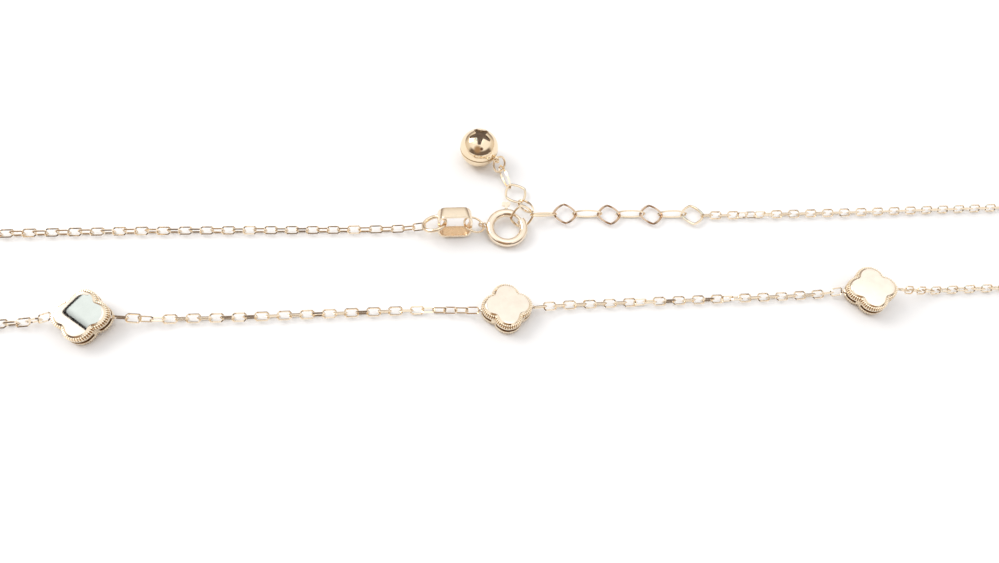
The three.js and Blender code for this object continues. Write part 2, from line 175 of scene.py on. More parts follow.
# Where each hard piece lies: its middle (the middle of a station's back face), then how it is turned.
PLACES = {
    "station_left": {"at": (-49.05, -5.42, 0.44), "heading": -3, "pitch": 0, "roll": 9},
    "station_centre": {"at": (-0.78, -6.44, 0), "heading": 1, "pitch": 0, "roll": 0},
    "station_right": {"at": (47.14, -6.17, 0.62), "heading": -7.5, "pitch": 12, "roll": 6},
    "tag_jump_ring": {"at": (-8.9, 5.95, 1.8), "heading": 0, "pitch": 15, "roll": -18},
    "tag_link": {"at": (-6.32, 5.97, 1.97), "heading": 0, "pitch": 0, "roll": 80},
    "clasp_jump_ring": {"at": (-3.81, 5.86, 1.48), "heading": 15, "pitch": -19, "roll": -5},
    "clasp_body": {"at": (0.5, 5.62, 0.97), "heading": 0, "pitch": 2, "roll": 6.5},
    "clasp_bolt": {"at": (0.5, 5.62, 0.97), "heading": 0, "pitch": 2, "roll": 6.5},
    "rhombus_0": {"at": (2.34, 11.39, 0.71), "heading": 118, "pitch": 8, "roll": 4},
    "rhombus_1": {"at": (2.65, 7.02, 1.4), "heading": 9, "pitch": 0, "roll": 55},
    "rhombus_2": {"at": (8.65, 7.88, 0.68), "heading": -3, "pitch": 1, "roll": 1},
    "rhombus_3": {"at": (14.72, 7.67, 0.53), "heading": 0, "pitch": 0, "roll": 0},
    "rhombus_4": {"at": (20.6, 7.51, 0.53), "heading": 0, "pitch": 0, "roll": 0},
    "rhombus_5": {"at": (26.4, 7.29, 0.53), "heading": -4, "pitch": 0, "roll": 0},
    "oval_0": {"at": (1.15, 14.16, 0.84), "heading": 106, "pitch": 2, "roll": -70},
    "oval_a": {"at": (3.35, 8.78, 1.32), "heading": 113, "pitch": -30, "roll": -48},
    "oval_b": {"at": (5.65, 7.56, 1.03), "heading": 12, "pitch": -14, "roll": -37},
    "oval_c": {"at": (11.69, 7.78, 0.71), "heading": -2, "pitch": 0, "roll": 80},
    "oval_d": {"at": (17.66, 7.59, 0.71), "heading": -2, "pitch": 0, "roll": 80},
    "oval_e": {"at": (23.5, 7.4, 0.71), "heading": -2, "pitch": 0, "roll": 80},
    "end_ball": {"at": (-2.19, 17.92, 2.6), "heading": 0, "pitch": 0, "roll": 0},
    "ball_jump_ring": {"at": (0.47, 15.8, 1.56), "heading": -132, "pitch": -9, "roll": -61},
}

# ---- camera ----

# Its place in the plan, its own three axes, and the nearest distance that it shows.
CAMERA = {
    "at": (-13.195, -47.964, 77.478),
    "right": (0.99051, -0.09784, 0.09651),
    "up": (0.03449, 0.85678, 0.51453),
    "back": (-0.13303, -0.50632, 0.85202),
    "lens": 26,
    "sensor": 36,
    "nearest": 5,
}


def make_camera():
    data = bpy.data.cameras.new("camera")
    data.lens = CAMERA["lens"]
    data.sensor_width = CAMERA["sensor"]
    data.clip_start = CAMERA["nearest"] * MM
    camera = bpy.data.objects.new("camera", data)
    turn = Matrix((CAMERA["right"], CAMERA["up"], CAMERA["back"])).transposed().to_4x4()
    camera.matrix_world = Matrix.Translation(PLAN @ Vector(CAMERA["at"])) @ turn
    scene.collection.objects.link(camera)
    scene.camera = camera


# ---- gold ----

NOISE_RANGE = (0.3, 0.7)  # between these lie nearly all of a noise's values
DRIFT = {"scale": 900, "detail": 3}
DRIFT_DEPTH = 0.93  # the darkest share of the colour
POLISH = {"scale": 2600, "detail": 4}
POLISH_RANGE = (0.7, 1.3)  # shares of the roughness
MARKS = {"scale": 5000, "detail": 2}
MARK_DEPTH = 0.00001  # metres


def noise(tree, spot, scale, detail):
    """Cloudy values, read at a spot."""
    node = tree.nodes.new("ShaderNodeTexNoise")
    node.inputs["Scale"].default_value = scale
    node.inputs["Detail"].default_value = detail
    tree.links.new(spot, node.inputs["Vector"])
    return node.outputs["Fac"]


def gold(name, colour, roughness, streak=None, wear=0.12):
    """Bright yellow gold with slow drifts of colour and polish and fine wear marks.

    A streak is a scale along each axis that draws the marks out into rolling lines.
    """
    material = bpy.data.materials.new(name)
    material.use_nodes = True
    tree = material.node_tree
    tree.nodes.clear()
    out = tree.nodes.new("ShaderNodeOutputMaterial")
    metal = tree.nodes.new("ShaderNodeBsdfPrincipled")
    metal.inputs["Metallic"].default_value = 1.0
    tree.links.new(metal.outputs["BSDF"], out.inputs["Surface"])
    spot = tree.nodes.new("ShaderNodeTexCoord").outputs["Object"]

    tint = tree.nodes.new("ShaderNodeValToRGB")
    for stop, value, share in zip(tint.color_ramp.elements, NOISE_RANGE, (DRIFT_DEPTH, 1)):
        stop.position = value
        stop.color = (*(channel * share for channel in colour), 1)
    tree.links.new(noise(tree, spot, **DRIFT), tint.inputs["Fac"])
    tree.links.new(tint.outputs["Color"], metal.inputs["Base Color"])

    shine = tree.nodes.new("ShaderNodeMapRange")
    for end, value, share in zip(("Min", "Max"), NOISE_RANGE, POLISH_RANGE):
        shine.inputs["From " + end].default_value = value
        shine.inputs["To " + end].default_value = roughness * share
    tree.links.new(noise(tree, spot, **POLISH), shine.inputs["Value"])
    tree.links.new(shine.outputs["Result"], metal.inputs["Roughness"])

    if streak:
        drawn = tree.nodes.new("ShaderNodeMapping")
        drawn.inputs["Scale"].default_value = streak
        tree.links.new(spot, drawn.inputs["Vector"])
        spot = drawn.outputs["Vector"]
    bump = tree.nodes.new("ShaderNodeBump")
    bump.inputs["Strength"].default_value = wear
    bump.inputs["Distance"].default_value = MARK_DEPTH
    tree.links.new(noise(tree, spot, **MARKS), bump.inputs["Height"])
    tree.links.new(bump.outputs["Normal"], metal.inputs["Normal"])
    return material


CHAIN_GOLD = gold("chain_gold", (0.90, 0.765, 0.585), 0.08)
STATION_GOLD = gold("station_gold", (0.95, 0.845, 0.72), 0.03, wear=0.02)
# Painted shade: a dark brown gold for the insides of the stations' slots and the sunk faces of the ball's
# seam.
SLOT_AND_SEAM_SHADE_GOLD = gold("slot_and_seam_shade_gold", (0.46, 0.30, 0.15), 0.4)
# Painted shade: a darker gold for the faces round the valleys of the milled notches.
NOTCH_SHADE_GOLD = gold("groove_gold", (0.60, 0.43, 0.27), 0.3)
RIM_GOLD = gold("rim_gold", (0.96, 0.83, 0.64), 0.07, wear=0.05)
WIRE_GOLD = gold("ring_gold", (0.88, 0.73, 0.54), 0.1)
TAG_GOLD = gold("tag_gold", (0.93, 0.80, 0.62), 0.14, streak=(1.0, 0.12, 0.12), wear=0.2)
# Painted shade and real finish: the band's inward walls in a darker, more orange gold, rougher and more
# streaked with rolling marks.
TAG_INSIDE_SHADE_GOLD = gold("tag_inside_shade_gold", (0.80, 0.56, 0.34), 0.3, streak=(1.0, 0.08, 0.08), wear=0.9)
CLASP_GOLD = gold("clasp_gold", (0.93, 0.80, 0.64), 0.05)
EXTENDER_GOLD = gold("extender_gold", (0.91, 0.77, 0.58), 0.08)
# Painted shade: a darker gold for some of the square links.
PAINTED_SHADE_EXTENDER_GOLD = gold("painted_shade_extender_gold", (0.70, 0.53, 0.385), 0.08)
BALL_GOLD = gold("ball_gold", (0.94, 0.78, 0.56), 0.07)
INSIDE_GOLD = gold("ball_inside_gold", (0.97, 0.88, 0.80), 0.6)

# The golds of a piece that has more than one, in the order of its material slots.
STATION_GOLDS = [STATION_GOLD, SLOT_AND_SEAM_SHADE_GOLD, NOTCH_SHADE_GOLD, RIM_GOLD]
BALL_GOLDS = [BALL_GOLD, INSIDE_GOLD, SLOT_AND_SEAM_SHADE_GOLD]
TAG_GOLDS = [TAG_GOLD, TAG_INSIDE_SHADE_GOLD]

# ---- shaping tools ----


def move(bm, matrix):
    bmesh.ops.transform(bm, matrix=matrix, verts=bm.verts)


def attitude(place):
    """The matrix that brings a piece from its own middle to its place in the plan."""
    heading = Matrix.Rotation(radians(place["heading"]), 4, "Z")
    pitch = Matrix.Rotation(radians(-place["pitch"]), 4, "Y")
    roll = Matrix.Rotation(radians(place["roll"]), 4, "X")
    return Matrix.Translation(place["at"]) @ heading @ pitch @ roll


def seat(bm, name):
    """Brings a piece from its own middle to its place in the shared frame."""
    move(bm, PLAN @ attitude(PLACES[name]))


def as_mesh(bm, name):
    mesh = bpy.data.meshes.new(name)
    bm.to_mesh(mesh)
    bm.free()
    return mesh


def as_object(bm, name):
    piece = bpy.data.objects.new(name, as_mesh(bm, name))
    scene.collection.objects.link(piece)
    return piece


def finish(bm, name, golds, node, body="root", sharp=SHARP_EDGE):
    """Makes the piece's object, shades it smooth apart from its sharp edges, and sets it on its body."""
    bmesh.ops.remove_doubles(bm, verts=bm.verts, dist=WELD)
    bmesh.ops.recalc_face_normals(bm, faces=bm.faces)
    piece = as_object(bm, name)
    for polygon in piece.data.polygons:
        polygon.use_smooth = True
    piece.data.set_sharp_from_angle(angle=radians(sharp))
    for material in golds:
        piece.data.materials.append(material)
    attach(piece, body)
    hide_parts(node)


def sweep(bm, steps, angle=360):
    """Sweeps all that a mesh holds round Z. A full turn closes on itself."""
    bmesh.ops.spin(bm, geom=bm.verts[:] + bm.edges[:] + bm.faces[:], cent=(0, 0, 0), axis=(0, 0, 1),
                   dvec=(0, 0, 0), angle=radians(angle), steps=steps, use_merge=angle == 360,
                   use_duplicate=False)


def wire_ring(radius, wire, steps, sides):
    """A closed ring of wire about Z."""
    bm = bmesh.new()
    bmesh.ops.create_circle(bm, cap_ends=False, segments=sides, radius=wire)
    move(bm, Matrix.Rotation(pi / 2, 4, "X"))
    move(bm, Matrix.Rotation(pi / steps, 4, "Z") @ Matrix.Translation((radius, 0, 0)))
    sweep(bm, steps)
    return bm


def standing_ring(radius, wire, offset, angle, steps=EYE_STEPS, sides=EYE_SIDES):
    """A small eye that stands on edge, out along an angle."""
    bm = wire_ring(radius, wire, steps, sides)
    move(bm, Matrix.Rotation(pi / 2, 4, "X"))
    move(bm, Matrix.Rotation(radians(angle), 4, "Z") @ Matrix.Translation((offset, 0, 0)))
    bmesh.ops.recalc_face_normals(bm, faces=bm.faces)
    return bm


def spread(bm, out_x, out_y):
    """Draws a ring out into straight sides: each quarter moves away from the middle."""
    for vert in bm.verts:
        vert.co.x += out_x if vert.co.x > 0 else -out_x
        vert.co.y += out_y if vert.co.y > 0 else -out_y


def combined(blank, steps):
    """Cuts and joins closed solids, in (operation, solid) steps. Gives the result and keeps no helper."""
    body = as_object(blank, "blank")
    helpers = [body]
    for operation, solid in steps:
        helper = as_object(solid, "cutter")
        modifier = body.modifiers.new("step", "BOOLEAN")
        modifier.operation = operation
        modifier.solver = "EXACT"
        modifier.object = helper
        helpers.append(helper)
    bpy.context.view_layer.update()
    evaluated = body.evaluated_get(bpy.context.evaluated_depsgraph_get())
    bm = bmesh.new()
    bm.from_mesh(evaluated.to_mesh())
    evaluated.to_mesh_clear()
    for helper in helpers:
        mesh = helper.data
        bpy.data.objects.remove(helper)
        bpy.data.meshes.remove(mesh)
    return bm


def ordered(ring):
    """A ring of vertices in turn, from angle zero."""
    return sorted(ring, key=lambda vert: (atan2(vert.co.y, vert.co.x) + FIRST_POINT_SLACK) % (2 * pi))


def raised(bm, ring):
    """Extrudes a closed ring of vertices. Gives the new ring in the same order, and the faces between."""
    edges = [edge for edge in ring[0].link_edges if edge.other_vert(ring[0]) in (ring[1], ring[-1])]
    for vert, following in zip(ring[1:], ring[2:]):
        edges += [edge for edge in vert.link_edges if edge.other_vert(vert) is following]
    grown = bmesh.ops.extrude_edge_only(bm, edges=edges)["geom"]
    fresh = {item for item in grown if isinstance(item, bmesh.types.BMVert)}
    above = []
    for vert in ring:
        above += [edge.other_vert(vert) for edge in vert.link_edges if edge.other_vert(vert) in fresh]
    return above, [item for item in grown if isinstance(item, bmesh.types.BMFace)]


# ---- extender and rings ----


def rounded_square(bm, reach, roundness):
    """Draws a ring out into a square on its corner, with round corners and slightly full sides."""
    middle = reach * roundness / (roundness + 1)
    swing = reach - middle
    for vert in bm.verts:
        angle = atan2(vert.co.y, vert.co.x)
        out = middle + swing * cos(4 * angle) - reach
        side = -4 * swing * sin(4 * angle)
        vert.co.x += out * cos(angle) - side * sin(angle)
        vert.co.y += out * sin(angle) + side * cos(angle)


def make_square_links():
    """Six squares of wire, hung by their corners. Some are darkened with painted shade and have flat-sided
    wire.
    """
    reach, wire, steps = SQUARE_LINK["reach"], SQUARE_LINK["wire"], SQUARE_LINK["steps"]
    for number in range(SQUARE_LINKS):
        name = f"rhombus_{number}"
        darkened = number in DARKENED_SQUARE_LINKS["numbers"]
        bm = wire_ring(reach, wire, steps, (DARKENED_SQUARE_LINKS if darkened else SQUARE_LINK)["sides"])
        rounded_square(bm, reach, SQUARE_LINK["roundness"])
        seat(bm, name)
        # Darkened links take the darker gold, as painted shade.
        colour = PAINTED_SHADE_EXTENDER_GOLD if darkened else EXTENDER_GOLD
        finish(bm, f"square_link_{number}", [colour], name)


def make_oval_links():
    width = OVAL_LINK["half_width"]
    for name in OVAL_LINKS:
        bm = wire_ring(width, OVAL_LINK["wire"], OVAL_LINK["steps"], OVAL_LINK["sides"])
        for vert in bm.verts:
            vert.co.x += (OVAL_LINK["half_length"] - width) * cos(atan2(vert.co.y, vert.co.x))
        seat(bm, name)
        finish(bm, name.replace("oval", "oval_link"), [EXTENDER_GOLD], name)


def make_rings():
    for name, size in RINGS.items():
        bm = wire_ring(size["radius"], size["wire"], RING_STEPS, RING_SIDES)
        seat(bm, name)
        finish(bm, name + "_wire", [WIRE_GOLD], name)


# ---- tag link ----


def make_tag():
    """A flat band with softened edges, bent round into a rounded rectangle."""
    thickness = TAG["thickness"]
    bend = TAG["corner"] - thickness / 2
    bm = bmesh.new()
    bmesh.ops.create_circle(bm, cap_ends=False, segments=4, radius=HALF_DIAGONAL)
    move(bm, Matrix.Rotation(pi / 4, 4, "Z"))
    move(bm, Matrix.Rotation(pi / 2, 4, "X"))
    move(bm, Matrix.Diagonal((thickness, 1, TAG["width"], 1)))
    move(bm, Matrix.Rotation(pi / TAG["steps"], 4, "Z") @ Matrix.Translation((bend, 0, 0)))
    sweep(bm, TAG["steps"])
    spread(bm, TAG["length"] / 2 - TAG["corner"], TAG["height"] / 2 - TAG["corner"])
    bmesh.ops.recalc_face_normals(bm, faces=bm.faces)
    sharper_than = radians(TAG_EDGE["sharper_than"])
    rims = [edge for edge in bm.edges if edge.is_manifold and edge.calc_face_angle() > sharper_than]
    bmesh.ops.bevel(bm, geom=rims, offset=TAG_EDGE["radius"], offset_type="OFFSET",
                    segments=TAG_EDGE["segments"], profile=0.5, affect="EDGES", material=-1,
                    clamp_overlap=True)
    # The band's inward walls take the darker, more orange gold as painted shade, with a rougher, streaked
    # finish.
    for face in bm.faces:
        inward = face.normal.dot(face.calc_center_median()) < 0
        inside = inward and abs(face.normal.z) < TAG_WALL
        face.material_index = TAG_GOLDS.index(TAG_INSIDE_SHADE_GOLD if inside else TAG_GOLD)
    seat(bm, "tag_link")
    finish(bm, "tag_band", TAG_GOLDS, "tag_link")


# ---- clasp ----


def arc_tube(radius, start, end, steps, sides):
    """A solid bar of round section bent along the clasp's circle, its ends closed."""
    bm = bmesh.new()
    bmesh.ops.create_circle(bm, cap_ends=True, segments=sides, radius=radius)
    move(bm, Matrix.Rotation(pi / 2, 4, "X"))
    move(bm, Matrix.Rotation(radians(start), 4, "Z") @ Matrix.Translation((CLASP_RADIUS, 0, 0)))
    sweep(bm, steps, end - start)
    bmesh.ops.recalc_face_normals(bm, faces=bm.faces)
    return bm


def slot_cutter():
    """A block of rectangular section, bent along the outer half of the clasp's tube."""
    start, reach = SLOT["from"], 2 * CLASP_TUBE
    bm = bmesh.new()
    bmesh.ops.create_grid(bm, x_segments=1, y_segments=1, size=0.5)
    move(bm, Matrix.Rotation(pi / 2, 4, "X") @ Matrix.Diagonal((reach, SLOT["width"], 1, 1)))
    move(bm, Matrix.Rotation(radians(start), 4, "Z") @ Matrix.Translation((CLASP_RADIUS + reach / 2, 0, 0)))
    sweep(bm, SLOT["steps"], SLOT["to"] - start)
    bmesh.ops.recalc_face_normals(bm, faces=bm.faces)
    return bm


def make_clasp_body():
    """A ring of tube with a gap and a lug, bored for the bolt and its spring and slotted for the lever."""
    gap_from, gap_to = CLASP_GAP
    tube = arc_tube(CLASP_TUBE, gap_to, gap_from + 360, TUBE_STEPS, TUBE_SIDES)
    bore = arc_tube(CLASP_BORE, gap_to - BORE_OVERRUN, BORE_END, BORE_STEPS, BORE_SIDES)
    pocket = arc_tube(CLASP_BORE, gap_from - POCKET_DEPTH, gap_from + BORE_OVERRUN, POCKET_STEPS, BORE_SIDES)
    lug = standing_ring(LUG["radius"], LUG["wire"], LUG["offset"], LUG["angle"])
    steps = [("DIFFERENCE", bore), ("DIFFERENCE", pocket), ("DIFFERENCE", slot_cutter()), ("UNION", lug)]
    bm = combined(tube, steps)
    seat(bm, "clasp_body")
    finish(bm, "clasp_ring", [CLASP_GOLD], "clasp_body")


def rod(radius, depth, sides, matrix):
    """An upright round rod, moved by a matrix."""
    bm = bmesh.new()
    bmesh.ops.create_cone(bm, cap_ends=True, segments=sides, radius1=radius, radius2=radius, depth=depth)
    move(bm, matrix)
    return bm


def make_clasp_bolt():
    """The bolt that closes the gap, the stem through the slot, and the two-lobed thumb tab."""
    start, end = LEVER_TAB["from"], LEVER_TAB["to"]
    lobe, thickness = LEVER_TAB["lobe"], LEVER_TAB["thickness"]
    bolt = arc_tube(BOLT_RADIUS, BOLT_ARC[0], BOLT_ARC[1], BORE_STEPS, BORE_SIDES)
    length = start + lobe - CLASP_RADIUS
    lying = Matrix.Translation((0, CLASP_RADIUS + length / 2, 0)) @ Matrix.Rotation(pi / 2, 4, "X")
    solids = [rod(LEVER_STEM["radius"], length, LEVER_STEM["sides"], lying)]
    for side in (-1, 1):
        at_lobe = Matrix.Translation((side * lobe * LOBE_SPREAD, end - lobe, 0))
        solids.append(rod(lobe, thickness, LEVER_TAB["sides"], at_lobe))
    neck = bmesh.new()
    bmesh.ops.create_cube(neck, size=1)
    neck_size = (lobe * NECK["width"], end - start - lobe * NECK["shorter"], thickness * NECK_THICKNESS, 1)
    neck_at = (0, (start + end) / 2 - lobe * NECK["back"], 0)
    move(neck, Matrix.Translation(neck_at) @ Matrix.Diagonal(neck_size))
    solids.append(neck)
    for solid in solids:
        move(solid, Matrix.Rotation(radians(LEVER_ANGLE - 90), 4, "Z"))
        bmesh.ops.recalc_face_normals(solid, faces=solid.faces)
    bm = combined(bolt, [("UNION", solid) for solid in solids])
    seat(bm, "clasp_bolt")
    finish(bm, "clasp_bolt_and_lever", [CLASP_GOLD], "clasp_bolt", body="bolt")


# ---- end ball ----


def star_cutter():
    """A block of star section. Its ring of points goes tip, tip, waist round each arm."""
    bm = bmesh.new()
    arms, tip = STAR["arms"], STAR["tip"]
    turns = (-tip, tip, 180 / arms)
    reaches = (STAR["reach"], STAR["reach"], STAR["waist"])
    ring = ordered(bmesh.ops.create_circle(bm, cap_ends=True, segments=3 * arms, radius=1)["verts"])
    for step, vert in enumerate(ring):
        arm, point = divmod(step, 3)
        angle = radians(STAR["first"] + arm * 360 / arms + turns[point])
        vert.co = (reaches[point] * cos(angle), reaches[point] * sin(angle), 0)
    grown = bmesh.ops.extrude_face_region(bm, geom=bm.faces[:])["geom"]
    top = [item for item in grown if isinstance(item, bmesh.types.BMVert)]
    bmesh.ops.translate(bm, vec=(0, 0, BALL_RADIUS), verts=top)
    move(bm, Matrix.Translation((0, 0, BALL_RADIUS * STAR_CUT_FROM)))
    bmesh.ops.recalc_face_normals(bm, faces=bm.faces)
    return bm


def make_ball():
    """Two pressed halves with a seam between them, a star cut in the upper one, and an eye at the side."""
    shell = bmesh.new()
    bmesh.ops.create_uvsphere(shell, radius=BALL_RADIUS, **BALL_OUTSIDE)
    squeeze = (BALL_RADIUS - BALL_SEAM["depth"]) / BALL_RADIUS
    for vert in shell.verts:
        if abs(vert.co.z) < BALL_SEAM["line"]:
            vert.co.x *= squeeze
            vert.co.y *= squeeze
    inside = bmesh.new()
    bmesh.ops.create_uvsphere(inside, radius=BALL_RADIUS - BALL_WALL, **BALL_INSIDE)
    eye = standing_ring(BALL_EYE["radius"], BALL_EYE["wire"], BALL_EYE["offset"], 0)
    move(eye, Matrix.Rotation(radians(BALL_EYE["heading"]), 4, "Z")
         @ Matrix.Rotation(radians(-BALL_EYE["pitch"]), 4, "Y"))
    bm = combined(shell, [("UNION", eye), ("DIFFERENCE", inside), ("DIFFERENCE", star_cutter())])
    for face in bm.faces:
        middle = face.calc_center_median()
        inner = middle.length < BALL_RADIUS - BALL_WALL / 2
        sunk = middle.length < BALL_RADIUS - BALL_SEAM["depth"] / 4
        in_seam = sunk and abs(middle.z) < BALL_SEAM["reach"]
        # The seam's sunk faces take the dark brown gold, as painted shade.
        material = INSIDE_GOLD if inner else SLOT_AND_SEAM_SHADE_GOLD if in_seam else BALL_GOLD
        face.material_index = BALL_GOLDS.index(material)
    seat(bm, "end_ball")
    finish(bm, "star_ball", BALL_GOLDS, "end_ball", sharp=BALL_SHARP_EDGE)


# ---- stations ----


def quatrefoil(turn, inset):
    """Point of the four-lobed outline at a fraction of its length, moved in by an inset."""
    lobe = floor(turn * 4 + 0.5)
    across = (turn * 4 - lobe) * 2
    side = -1 if across < 0 else 1
    run = abs(across) * (HALF_LOBE + HALF_VALLEY)
    if run <= HALF_LOBE:
        angle = run / LOBE_RADIUS
        radius = LOBE_RADIUS - inset
        point = Vector((LOBE_OFFSET + radius * cos(angle), side * radius * sin(angle), 0))
    else:
        angle = radians(VALLEY_TANGENT) - (run - HALF_LOBE) / VALLEY_RADIUS
        radius = VALLEY_RADIUS + inset
        centre = VALLEY_OFFSET * HALF_DIAGONAL
        point = Vector((centre - radius * cos(angle), side * (centre - radius * sin(angle)), 0))
    point.rotate(Matrix.Rotation(lobe * pi / 2, 3, "Z"))
    return point


def place_on_outline(ring, row):
    """Moves a ring of vertices to one row of the profile. Gives those in a slot and those in a groove."""
    in_slot = set()
    in_groove = set()
    for step, vert in enumerate(ring):
        turn = step / len(ring)
        notch = NOTCH[step % len(NOTCH)]
        from_valley = abs((turn * 4) % 1 - 0.5) * OUTLINE_QUARTER
        slot = row.get("slot", 0) if from_valley > SLOT_END else 0
        point = quatrefoil(turn, row["inset"] + row.get("notch", 0) * notch + slot)
        vert.co = (point.x, point.y, row["height"])
        if slot > SLOT_INSIDE:
            in_slot.add(vert)
        if "notch" in row and notch == 1:
            in_groove.add(vert)
    return in_slot, in_groove


def station_wall(bm):
    """Builds a station's back face, then its side, row by row. Gives the last ring."""
    circle = bmesh.ops.create_circle(bm, cap_ends=False, segments=OUTLINE_POINTS, radius=1)
    ring = ordered(circle["verts"])
    in_slot, in_groove = place_on_outline(ring, STATION_PROFILE[0])
    bm.faces.new(ring)
    for row in STATION_PROFILE[1:]:
        ring, walls = raised(bm, ring)
        slots, grooves = place_on_outline(ring, row)
        in_slot |= slots
        in_groove |= grooves
        # Wall faces in a slot take the dark brown gold, as painted shade.
        for wall in walls:
            corners = set(wall.verts)
            # Faces round a notch's valley take the darker notch gold, as painted shade.
            material = SLOT_AND_SEAM_SHADE_GOLD if in_slot & corners else NOTCH_SHADE_GOLD if in_groove & corners else RIM_GOLD
            wall.material_index = STATION_GOLDS.index(material)
    return ring


def station_case():
    """A closed case: flat back, milled and slotted side, and a polished face with a slight swell."""
    bm = bmesh.new()
    ring = station_wall(bm)
    rim = [quatrefoil(step / OUTLINE_POINTS, FACE["inset"]) for step in range(OUTLINE_POINTS)]
    for step in range(FACE["steps"]):
        ring, walls = raised(bm, ring)
        for vert, rim_point in zip(ring, rim):
            point = rim_point * (1 - step / FACE["steps"])
            swell = FACE["rise"] * (1 - (point.length / FACE["reach"]) ** 2)
            vert.co = (point.x, point.y, FACE["height"] + swell)
        for wall in walls:
            wall.material_index = STATION_GOLDS.index(STATION_GOLD)
    bm.faces.new(ring)
    return bm


def make_stations():
    eye = STATION_EYE
    for name in ("station_left", "station_centre", "station_right"):
        bm = station_case()
        for side in (0, 180):
            ring = standing_ring(eye["radius"], eye["wire"], eye["offset"], side, eye["steps"], eye["sides"])
            move(ring, Matrix.Translation((0, 0, eye["height"])))
            mesh = as_mesh(ring, "eye")
            bm.from_mesh(mesh)
            bpy.data.meshes.remove(mesh)
        seat(bm, name)
        finish(bm, name + "_case", STATION_GOLDS, name, sharp=STATION_SHARP_EDGE)


# ---- chain ----


def bend(centre, radius, start, end):
    """Points of an arc at the height of the chain, where the loop turns back at one side."""
    points = []
    for step in range(BEND_STEPS + 1):
        angle = radians(start + (end - start) * step / BEND_STEPS)
        points.append((centre[0] + radius * cos(angle), centre[1] + radius * sin(angle), CHAIN_LIE))
    return points


LEFT_BEND = bend((-100.65, 0.4), 6.35, 90, 270)
RIGHT_BEND = bend((100.3, 0.6), 6.7, 90, -90)

# Each stretch of chain: its node, the route of its middle line from ring to ring, where links sit along that
# line (link number and distance), and how far links are turned about it (link number and angle, where 0 lays
# the even ones flat).
CHAINS = [
    {
        "node": "chain_tag_side",
        "route": [
            (-10.87, 5.96, 1.2), (-12.4, 6.02, 0.86), (-14.3, 6.12, 0.64), (-20, 6.19, CHAIN_LIE),
            (-29, 6.41, CHAIN_LIE), (-37, 6.61, CHAIN_LIE), (-45, 6.77, CHAIN_LIE), (-53, 6.86, CHAIN_LIE),
            (-61, 6.88, CHAIN_LIE), (-71, 6.85, CHAIN_LIE), (-82, 6.8, CHAIN_LIE), (-92, 6.76, CHAIN_LIE),
            *LEFT_BEND,
            (-92, -5.9, CHAIN_LIE), (-82, -5.82, CHAIN_LIE), (-72, -5.68, CHAIN_LIE),
            (-63, -5.58, CHAIN_LIE), (-57, -5.53, 0.62), (-55.3, -5.52, 0.78), (-54.1, -5.48, 1.12),
            (-52.98, -5.41, 1.51),
        ],
        "links": [(0, 0.0), (6, 8.3), (38, 49.54), (122, 157.35)],
        "turn": [(0, -12), (40, -12), (100, 12), (122, 12)],
    },
    {
        "node": "chain_left_centre",
        "route": [
            (-45.14, -5.8, 1.51), (-43.7, -5.82, 1.19), (-42, -5.83, 0.86), (-40.2, -5.82, 0.67),
            (-38, -5.8, CHAIN_LIE), (-32, -5.9, CHAIN_LIE), (-25, -5.9, CHAIN_LIE), (-18, -5.9, CHAIN_LIE),
            (-11, -5.92, CHAIN_LIE), (-7.9, -6.08, 0.64), (-6.1, -6.3, 0.84), (-4.68, -6.48, 1.05),
        ],
        "links": [(0, 0.15), (14, 18.1), (26, 33.65), (31, 40.3)],
        "turn": [(0, 106), (1, 106), (4, 17), (24, 17), (28, 80), (31, 80)],
    },
    {
        "node": "chain_centre_right",
        "route": [
            (3.12, -6.38, 1.05), (4.7, -6.2, 0.84), (6.5, -6.05, 0.64), (10, -6, CHAIN_LIE),
            (16, -6, CHAIN_LIE), (22, -6, CHAIN_LIE), (28, -6, CHAIN_LIE), (34, -6, CHAIN_LIE),
            (39.5, -5.92, 0.61), (41.3, -5.85, 0.7), (42.98, -5.76, 0.87),
        ],
        "links": [(0, 0.28), (16, 20.9), (31, 39.7)],
        "turn": [(0, 107), (9, 107), (10, 67), (12, 17), (18, 17), (21, -73), (29, -73), (31, -50)],
    },
    {
        "node": "chain_extender_side",
        "route": [
            (28.5, 7.12, 0.6), (31, 7.05, CHAIN_LIE), (37, 7.03, CHAIN_LIE), (44, 7.03, CHAIN_LIE),
            (51, 7.06, CHAIN_LIE), (58, 7.13, CHAIN_LIE), (65, 7.2, CHAIN_LIE), (73, 7.28, CHAIN_LIE),
            (82, 7.3, CHAIN_LIE), (92, 7.3, CHAIN_LIE),
            *RIGHT_BEND,
            (92, -6.1, CHAIN_LIE), (82, -6.08, CHAIN_LIE), (73, -6.04, CHAIN_LIE), (65, -6, CHAIN_LIE),
            (58.4, -6.02, 0.62), (56.1, -6.13, 0.83), (54.1, -6.32, 1.31), (52.4, -6.53, 1.88),
            (50.7, -6.75, 2.48),
        ],
        "links": [(0, -0.09), (16, 20.28), (112, 142.5)],
        "turn": [
            (0, 119), (3, 119), (4, 85), (5, 90), (8, 29), (16, 29), (19, 38), (30, 45), (60, 50), (112, 42),
        ],
    },
]


def smooth_line(points):
    """A finely stepped smooth curve through the route's points."""
    knots = [Vector(point) for point in points]
    knots = [2 * knots[0] - knots[1]] + knots + [2 * knots[-1] - knots[-2]]
    line = []
    for before, start, end, after in zip(knots, knots[1:], knots[2:], knots[3:]):
        leave = (end - before) * min(1.0, 2 * (end - start).length / (end - before).length) / 2
        arrive = (after - start) * min(1.0, 2 * (end - start).length / (after - start).length) / 2
        for step in range(ROUTE_STEPS):
            way = step / ROUTE_STEPS
            line.append((2 * way**3 - 3 * way**2 + 1) * start + (way**3 - 2 * way**2 + way) * leave
                        + (3 * way**2 - 2 * way**3) * end + (way**3 - way**2) * arrive)
    line.append(knots[-2])
    return line


